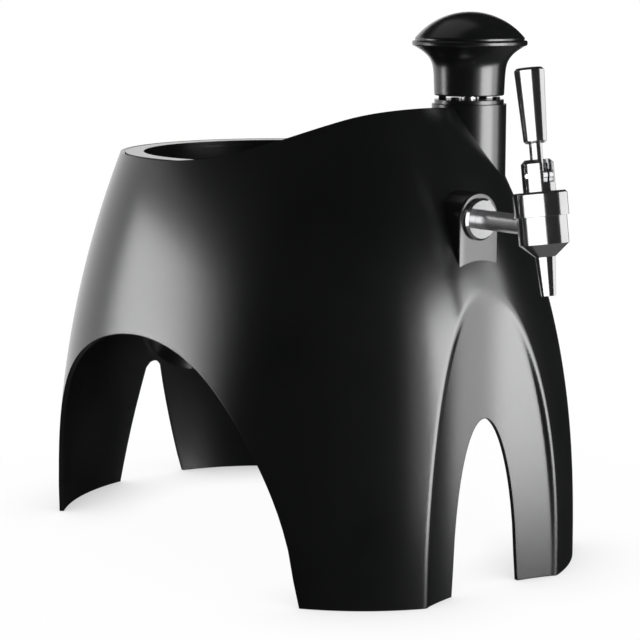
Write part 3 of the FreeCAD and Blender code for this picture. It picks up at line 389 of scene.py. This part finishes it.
# %% Where each column starts and ends
SIDE_ARCH_Y = 0.1845
SIDE_ARCH_HALF = 0.1355
SIDE_ARCH_TOP = 0.144
FRONT_ARCH_HALF = 0.026
FRONT_ARCH_TOP = 0.104
REAR_ARCH_FOOT = 0.028
REAR_ARCH_HEAD = 0.0075
REAR_ARCH_STRAIGHT = 0.0805
RIM_SLOPE = 0.037 / 0.156
CREST_TOP = 0.287
CREST_Y = 0.044
CREST_RUN = 0.036
LEVEL_RIM_Y = 0.200
LEVEL_RIM_RUN = 0.120
ARCS_MEET_Y = 0.080
FRONT_ENDS = 0.12
REAR_STARTS = 0.25
PUMP_X = 0.046
PUMP_Y = 0.0773
PUMP_BITE_R = 0.0233
FOOT_CLEARANCE = 0.00015


def beyond_arches(x, y, z):
    """Above zero where the skin stays: outside the side ellipse, the front ellipse and the rear arch."""
    side = np.hypot((y - SIDE_ARCH_Y) / SIDE_ARCH_HALF, z / SIDE_ARCH_TOP) - 1.0
    front_arch = np.hypot(x / FRONT_ARCH_HALF, z / FRONT_ARCH_TOP) - 1.0
    front = np.where(y < FRONT_ENDS, front_arch, 1.0)
    narrowing = REAR_ARCH_FOOT - REAR_ARCH_HEAD
    splayed = np.abs(x) - (REAR_ARCH_FOOT - narrowing * z / REAR_ARCH_STRAIGHT)
    crowned = np.hypot(x, z - REAR_ARCH_STRAIGHT) - REAR_ARCH_HEAD
    rear = np.where(y > REAR_STARTS, np.where(z < REAR_ARCH_STRAIGHT, splayed, crowned), 1.0)
    return np.minimum(side, np.minimum(front, rear))


def below_rim(x, y, z):
    """Above zero under the rim and outside the pump's bite. The rim is two arcs between its level parts."""
    sweep = (1.0 + RIM_SLOPE ** 2) / (2.0 * RIM_SLOPE)
    crest_r = CREST_RUN * sweep
    foot_r = LEVEL_RIM_RUN * sweep
    past_crest = np.maximum(y - CREST_Y, 0.0)
    before_level = np.maximum(LEVEL_RIM_Y - y, 0.0)
    crest = CREST_TOP - crest_r + np.sqrt(np.maximum(crest_r ** 2 - past_crest ** 2, 0.0))
    foot = RIM + foot_r - np.sqrt(np.maximum(foot_r ** 2 - before_level ** 2, 0.0))
    rim = np.where(y < ARCS_MEET_Y, crest, foot)
    bite = np.hypot(x - PUMP_X, y - PUMP_Y) - PUMP_BITE_R
    return np.minimum(rim - z, bite)


def crossing(values, levels, place):
    """Height where values cross zero between a level's index and the next one."""
    column = np.arange(len(values))
    low, high = values[column, place], values[column, place + 1]
    return levels[place] + (levels[place + 1] - levels[place]) * low / (low - high)


def column_ends():
    """Lowest and highest height of every column."""
    keep = beyond_arches(SKIN_X, SKIN_Y, LEVELS[None, :])
    cut = keep <= 0.0
    last = np.where(cut.any(axis=1), cut.shape[1] - 1 - np.argmax(cut[:, ::-1], axis=1), 0)
    low = np.where(cut.any(axis=1), crossing(keep, LEVELS, last), FOOT_CLEARANCE)
    under = below_rim(SKIN_X, SKIN_Y, LEVELS[None, :])
    first = np.argmax(under <= 0.0, axis=1)
    return low, crossing(under, LEVELS, first - 1)


LOW_ENDS, HIGH_ENDS = column_ends()
print("arches reach", round(float(LOW_ENDS.max()), 4))
print("rim from", round(float(HIGH_ENDS.min()), 4), "to", round(float(HIGH_ENDS.max()), 4))

# %% [markdown]
# ## The hollow of the front
# The front has a tall arch-shaped hollow with a soft crease all round it. Inside the arch the skin is
# pushed back to the inside of a wide upright cylinder, which meets the skin close to the arch's edge and
# so leaves a crease and no wall. The crease has a small radius and catches the light, as the moulded one
# does.

# %% Push the front back
HOLLOW_Y = 0.0107
HOLLOW_R = 0.154
HOLLOW_HALF = 0.0538
HOLLOW_TOP = 0.181
HOLLOW_EDGE = 0.0050
EDGE_OUTSIDE = 0.0012
CREASE = 0.0006
FRONT_PART = 0.10
WIDEST_ACROSS = 0.12


def pushed_back(x, y, z):
    """New y: old y plus the push. The push is a soft maximum of zero and hollow - skin, times a smooth step
    of the distance inside the arch. Distance = (1 - q) / |slope of q|, with q the ellipse's own radius."""
    across = np.minimum(np.abs(x), WIDEST_ACROSS)
    hollow = HOLLOW_Y - HOLLOW_R + np.sqrt(HOLLOW_R ** 2 - across ** 2)
    q = np.hypot(x / HOLLOW_HALF, z / HOLLOW_TOP) + 1e-9
    slope = np.hypot(x / HOLLOW_HALF ** 2, z / HOLLOW_TOP ** 2) / q + 1e-9
    inside = np.clip(((1.0 - q) / slope + EDGE_OUTSIDE) / HOLLOW_EDGE, 0.0, 1.0)
    inside = inside * inside * (3.0 - 2.0 * inside)
    push = CREASE * np.logaddexp(0.0, (hollow - y) / CREASE)
    return np.where(y < FRONT_PART, y + push * inside, y)


# %% Rows of the skin
BELT = 0.190
LOW_ROWS = 72
HIGH_ROWS = 36
FRONT_CALM = 0.112
SIDE_CALM = 0.150
CALM_CHANGES_Y = 0.06
BELOW_RIM = 0.004


def shell_skin():
    """Grid of skin points. Rows are level in the middle of the shell, so that no light crosses a slanted
    face there. They close up towards an arch below, and spread to meet the rim above."""
    belt = min(BELT, float(HIGH_ENDS.min()) - BELOW_RIM)
    level = np.linspace(0.0, belt, LOW_ROWS)[None, :]
    rise = np.linspace(0.0, 1.0, HIGH_ROWS + 1)[None, 1:]
    middle = int(np.argmin(np.abs(LEVELS - SIDE_CALM)))
    calm = np.where(SKIN_Y[:, middle] < CALM_CHANGES_Y, FRONT_CALM, SIDE_CALM)[:, None]
    low = LOW_ENDS[:, None]
    closing = low + (calm - low) * level / calm
    below = np.where(level < calm, closing, level)
    above = belt + (HIGH_ENDS[:, None] - belt) * rise
    z = np.concatenate([below, above], axis=1)
    x = np.stack([np.interp(z[i], LEVELS, SKIN_X[i]) for i in range(len(z))])
    y = np.stack([np.interp(z[i], LEVELS, SKIN_Y[i]) for i in range(len(z))])
    y = pushed_back(x, y, z)
    return np.stack([x, y - FOOT_LINE, z], axis=-1).transpose(1, 0, 2)


# %% The shell's mesh, wall and rounded rims
WALL = 0.003
RIM_ROUND = 0.0011


def rounded_edges(piece, width, segments):
    """Bevel modifier on the edges sharper than 50 degrees, with the flat faces kept flat to the light."""
    edge = piece.modifiers.new("edge", "BEVEL")
    edge.width = width
    edge.segments = segments
    edge.limit_method = "ANGLE"
    edge.angle_limit = math.radians(50.0)
    edge.harden_normals = True


shell = grid_mesh("moulded_shell", shell_skin())
shell.data.shade_smooth()
wall = shell.modifiers.new("wall", "SOLIDIFY")
wall.thickness = WALL
wall.offset = -1.0
wall.use_even_offset = True
rounded_edges(shell, RIM_ROUND, 3)
shell.data.materials.append(SHELL_PLASTIC)
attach(shell, "housing")
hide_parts("housing_shell")
print(shell.name, len(shell.data.vertices), "points before its wall")

# %% [markdown]
# ## The tap's boss
# The tap is clamped to a flat arch-shaped boss that stands out of the sloping front. Its outline is a
# round head on two straight sides. The outline is carried back from the face, first round its edge and
# then straight, until it sinks into the shell.

# %% Boss
BOSS_HALF = 0.0157
BOSS_FOOT = 0.190
BOSS_CROWN = 0.222
BOSS_MIDDLE = (0.0, 0.216)
BOSS_FACE_Y = 0.0176
BOSS_DEPTH = 0.016
BOSS_EDGE = 0.0013


def arch_outline(inset):
    """Closed outline, drawn in by an inset: up one side, round the head, down the other, along the foot."""
    half, foot, crown = BOSS_HALF - inset, BOSS_FOOT + inset, BOSS_CROWN
    head = np.linspace(0.0, math.pi, 64)
    right = np.stack([np.full(12, half), np.linspace(foot, crown, 12)], axis=1)[:-1]
    round_head = np.stack([half * np.cos(head), crown + half * np.sin(head)], axis=1)
    left = np.stack([np.full(12, -half), np.linspace(crown, foot, 12)], axis=1)[1:]
    along = np.stack([np.linspace(-half, half, 16), np.full(16, foot)], axis=1)[1:-1]
    return np.concatenate([right, round_head, left, along])


def boss_points():
    """Rings of the outline: from the middle of the face to its edge, round a quarter circle, then back."""
    face = arch_outline(BOSS_EDGE) - BOSS_MIDDLE
    rings = [face * share + BOSS_MIDDLE for share in (0.02, 0.35, 0.7, 1.0)]
    depths = [0.0] * len(rings)
    for angle in np.linspace(0.0, math.pi / 2.0, 6)[1:]:
        rings.append(arch_outline(BOSS_EDGE * (1.0 - math.sin(angle))))
        depths.append(BOSS_EDGE * (1.0 - math.cos(angle)))
    rings.append(rings[-1])
    depths.append(BOSS_DEPTH)
    points = []
    for ring, back in zip(rings, depths):
        y = np.full(len(ring), BOSS_FACE_Y + back - FOOT_LINE)
        points.append(np.stack([ring[:, 0], y, ring[:, 1]], axis=1))
    return np.stack(points)


boss = grid_mesh("tap_boss", boss_points()[:, ::-1])
boss.data.shade_smooth()
boss.data.materials.append(SHELL_PLASTIC)
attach(boss, "housing")
print(boss.name, len(boss.data.vertices), "points")

# %% [markdown]
# ## The pump's knob
# The knob is one turned-looking moulding: a straight neck that flares under a mushroom cap, with a rolled
# bead and a fine groove at the cap's edge. A profile of radius and height is rounded by cutting its
# corners again and again, and is then carried round the pump's axis.

# %% Profiles and turning
CORNER_ROUNDS = 3
TURN_POINTS = 128


def cut_corners(points):
    """Each round puts two points on every side, a quarter from each end, and keeps both ends of the line."""
    line = np.array(points, float)
    for _ in range(CORNER_ROUNDS):
        low, high = line[:-1], line[1:]
        inner = np.stack([0.75 * low + 0.25 * high, 0.25 * low + 0.75 * high], axis=1).reshape(-1, 2)
        line = np.vstack([line[:1], inner[1:-1], line[-1:]])
    return line


def turned(title, profile, centre):
    """Turns a profile of (radius, height) in millimetres about an upright axis.
    A point lies at centre + (r cos t, r sin t, h), and t goes once round."""
    profile = np.array(profile) / 1000.0
    angle = np.linspace(0.0, 2.0 * math.pi, TURN_POINTS, endpoint=False)
    ring = np.stack([np.cos(angle), np.sin(angle), np.zeros(TURN_POINTS)], axis=1)
    up = np.array([0.0, 0.0, 1.0])
    points = np.array(centre) + profile[:, 0][:, None, None] * ring[None] + profile[:, 1][:, None, None] * up
    made = grid_mesh(title, points)
    work = bmesh.new()
    work.from_mesh(made.data)
    bmesh.ops.remove_doubles(work, verts=work.verts, dist=1e-6)
    work.to_mesh(made.data)
    work.free()
    made.data.shade_smooth()
    return made


# %% The knob
CAP_BALL = 43.4
CAP_EDGE = 33.7
CAP_TOP = 341.0
cap_turn = np.linspace(math.asin(CAP_EDGE / CAP_BALL), 0.0, 36)
cap_dome = np.stack([CAP_BALL * np.sin(cap_turn), CAP_TOP - CAP_BALL + CAP_BALL * np.cos(cap_turn)], axis=1)
bore_and_lip = [(0.0, 317.5), (18.6, 317.5), (18.8, 317.0), (18.9, 290.6), (19.2, 290.05), (21.0, 290.05)]
neck = [(21.5, 290.6), (21.6, 292.0), (21.8, 298.0), (22.0, 303.0), (22.6, 308.0), (23.7, 311.2)]
flare = [(25.4, 313.8), (28.0, 316.4), (31.4, 318.7), (33.8, 320.1), (34.6, 320.3)]
bead = [(35.3, 320.9), (35.4, 322.0), (35.3, 323.1), (34.6, 323.6), (33.7, 323.65)]
groove = [(33.5, 323.9), (33.55, 324.5)]
knob_side = cut_corners(bore_and_lip + neck + flare + bead + groove)
knob = turned("pump_knob", np.vstack([knob_side, cap_dome]), (PUMP_X, PUMP_Y - FOOT_LINE, 0.0))
knob.data.materials.append(PUMP_PLASTIC)
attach(knob, "pump_handle")
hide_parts("pump_cap", "pump_grip")
print(knob.name, len(knob.data.vertices), "points")

# %% [markdown]
# ## Floor, background and light
# The dispenser stands on a pale sweep that fades into the white background, with a soft shadow only where
# the feet touch it. That shadow is partly the paper's own shade and partly painted: an ambient-occlusion
# mask takes the floor's white glow away near the feet. The air itself is nearly black to mirror-like rays,
# so that every sheet of light on the plastic is a soft box placed for it, and what lies between the boxes
# stays black.

# %% Pale floor
FLOOR_FADE = (0.27, 0.50)
PAINTED_SHADOW_REACH = 0.06
PAPER_GLOW = 0.20
OPEN_GLOW = 0.76
ring_r = np.array([0.0, 0.15, 0.3, 0.45, 0.6, 0.9])
ring_turn = np.linspace(0.0, 2.0 * math.pi, 48, endpoint=False)
floor_x = np.outer(ring_r, np.cos(ring_turn))
floor_y = np.outer(ring_r, np.sin(ring_turn))
floor_points = np.stack([floor_x, floor_y, np.zeros_like(floor_x)], axis=-1)
floor = grid_mesh("pale_floor", floor_points[::-1])
floor_finish, floor_shader, floor_place = new_finish("pale floor", Roughness=0.6, Specular_IOR_Level=0.2)
feed(floor_shader, Base_Color=shade_mix(noise(floor_place, 3.0), (0.84, 0.84, 0.84), (0.86, 0.86, 0.86)))
distance = floor_place.node("ShaderNodeVectorMath", {"operation": "LENGTH"}, out=1, i0=floor_place)
looked_at = floor_place.node("ShaderNodeLightPath", None, out=0)
paper = Wire(floor_finish.node_tree, floor_shader.outputs[0])
glow = floor_place.node("ShaderNodeEmission", None, Color=(1.0, 1.0, 1.0, 1.0), Strength=1.0)
# Painted shadow: where ambient occlusion finds the feet close, less white glow is mixed in, so the floor
# darkens there.
painted_shadow_clearance = floor_place.node("ShaderNodeAmbientOcclusion", {"samples": 8}, out=1, Distance=PAINTED_SHADOW_REACH)
glow_share_after_painted_shadow = looked_at * (PAPER_GLOW + OPEN_GLOW * painted_shadow_clearance)
paper_with_painted_shadow = paper.node("ShaderNodeMixShader", None, i0=glow_share_after_painted_shadow, i1=paper, i2=glow)
clear = floor_place.node("ShaderNodeBsdfTransparent", None)
faded = paper.node("ShaderNodeMixShader", None, i0=distance.step(*FLOOR_FADE), i1=paper_with_painted_shadow, i2=clear)
floor_end = floor_finish.node_tree.nodes["Material Output"]
floor_finish.node_tree.links.new(faded.socket, floor_end.inputs["Surface"])
floor.data.materials.append(floor_finish)
floor.visible_glossy = False
print("floor fades out at", FLOOR_FADE[1], "m")

# %% World that looks white
MIRRORED_AIR = 0.010
MIRRORED_GROUND = 0.09
SOFT_AIR = 1.15
world = bpy.data.worlds.new("studio air")
bpy.context.scene.world = world
world.use_nodes = True
air = Wire(world.node_tree, None)
world.node_tree.nodes.clear()
seen = air.node("ShaderNodeLightPath", None, out=0)
glossy = air.node("ShaderNodeLightPath", None, out=3)
through = air.node("ShaderNodeLightPath", None, out=6)
shiny = glossy.maths("MAXIMUM", through)
heading = air.node("ShaderNodeTexCoord", None, out=0)
dot = {"operation": "DOT_PRODUCT"}
downward = heading.node("ShaderNodeVectorMath", dot, out=1, i0=heading, i1=(0.0, 0.0, -1.0))
mirrored = MIRRORED_AIR + MIRRORED_GROUND * downward.step(0.25, 0.60)
strength = seen + (1.0 - seen) * (shiny * mirrored + (1.0 - shiny) * SOFT_AIR)
glow = air.node("ShaderNodeBackground", None, Color=(1.0, 1.0, 1.0, 1.0), Strength=strength)
end = world.node_tree.nodes.new("ShaderNodeOutputWorld")
world.node_tree.links.new(glow.socket, end.inputs["Surface"])
print("world is ready")

# %% [markdown]
# ## Two sets of soft boxes
# The sheets on the near flank come from a strip on the left and from a wide card at the rear. A box in
# front on the right lights the hollow, with a dimmer one on each side of it, and a faint one hangs
# overhead. The tap's chrome mirrors lamps of its own: a wide box on the left, a card on the right and a
# narrow light for the shank, with black between them. Light linking keeps each set on its own parts.

# %% Soft boxes
def soft_box(title, place, target, width, height, power):
    """Area lamp at a place, turned towards a target; width, height in metres and power in watts."""
    lamp = bpy.data.lights.new(title, "AREA")
    lamp.shape = "RECTANGLE"
    lamp.size = width
    lamp.size_y = height
    lamp.energy = power
    made = bpy.data.objects.new(title, lamp)
    bpy.context.scene.collection.objects.link(made)
    made.location = place
    made.visible_camera = False
    direction = np.array(target) - np.array(place)
    flat = math.hypot(direction[0], direction[1])
    heading_turn = math.atan2(direction[0], -direction[1]) + math.pi
    made.rotation_euler = (math.atan2(flat, -direction[2]), 0.0, heading_turn)
    return made


shell_lamps = [
    soft_box("left_strip", (-0.47, 0.40, 0.165), (-0.125, 0.03, 0.165), 0.19, 0.33, 1.35),
    soft_box("rear_card", (-0.056, 1.60, 0.35), (0.0, 0.0, 0.35), 4.4, 1.3, 21.0),
    soft_box("front_box", (0.34, -1.196, 0.185), (0.0, -0.15, 0.185), 0.80, 0.87, 29.0),
    soft_box("front_side", (0.843, -0.857, 0.185), (0.0, -0.15, 0.185), 0.468, 0.87, 6.4),
    soft_box("front_edge", (-0.15, -1.237, 0.25), (-0.03, -0.14, 0.25), 0.30, 0.80, 1.0),
    soft_box("top_box", (0.0, 0.55, 1.5), (0.0, 0.1, 0.2), 1.0, 1.0, 1.2),
]
tap_lamps = [
    soft_box("tap_box", (-1.153, -0.50, 0.25), (0.0, -0.17, 0.25), 2.3, 1.4, 14.5),
    soft_box("tap_card", (0.970, -0.412, 0.15), (0.0, -0.17, 0.15), 1.35, 1.1, 4.4),
    soft_box("shank_light", (-0.40, 0.62, 0.52), (0.0, -0.17, 0.21), 0.03, 0.30, 0.45),
]
parts = {title: bpy.data.collections.new(title) for title in ("bright_parts", "dull_parts", "all_parts")}
for thing in bpy.context.scene.objects:
    if thing.type == "MESH" and thing.data.materials and thing != floor:
        group = "bright_parts" if thing.data.materials[0] in (CHROME, SATIN_CHROME) else "dull_parts"
        parts["all_parts"].objects.link(thing)
        parts[group].objects.link(thing)
for lamp in shell_lamps:
    lamp.light_linking.receiver_collection = parts["dull_parts"]
    lamp.light_linking.blocker_collection = parts["all_parts"]
for lamp in tap_lamps:
    lamp.light_linking.receiver_collection = parts["bright_parts"]
    lamp.light_linking.blocker_collection = parts["bright_parts"]

# %% [markdown]
# ## The camera
# The camera was worked out from the feet and then matched to the dispenser's edges. It looks down by about
# nine and a half degrees from the left of the tap, with a long lens. These are the numbers that came out.

# %% Camera
lens = bpy.data.cameras.new("photo_camera")
lens.lens = 112.5
lens.sensor_width = 36.0
camera = bpy.data.objects.new("photo_camera", lens)
bpy.context.scene.collection.objects.link(camera)
LOOKS_DOWN = 9.509
camera.location = (-0.796578, -0.994479, 0.357)
camera.rotation_euler = (math.radians(90.0 - LOOKS_DOWN), 0.0, math.radians(-38.4857))
bpy.context.scene.camera = camera
bpy.context.scene.view_settings.view_transform = "Standard"
print("camera looks down by", LOOKS_DOWN, "degrees")
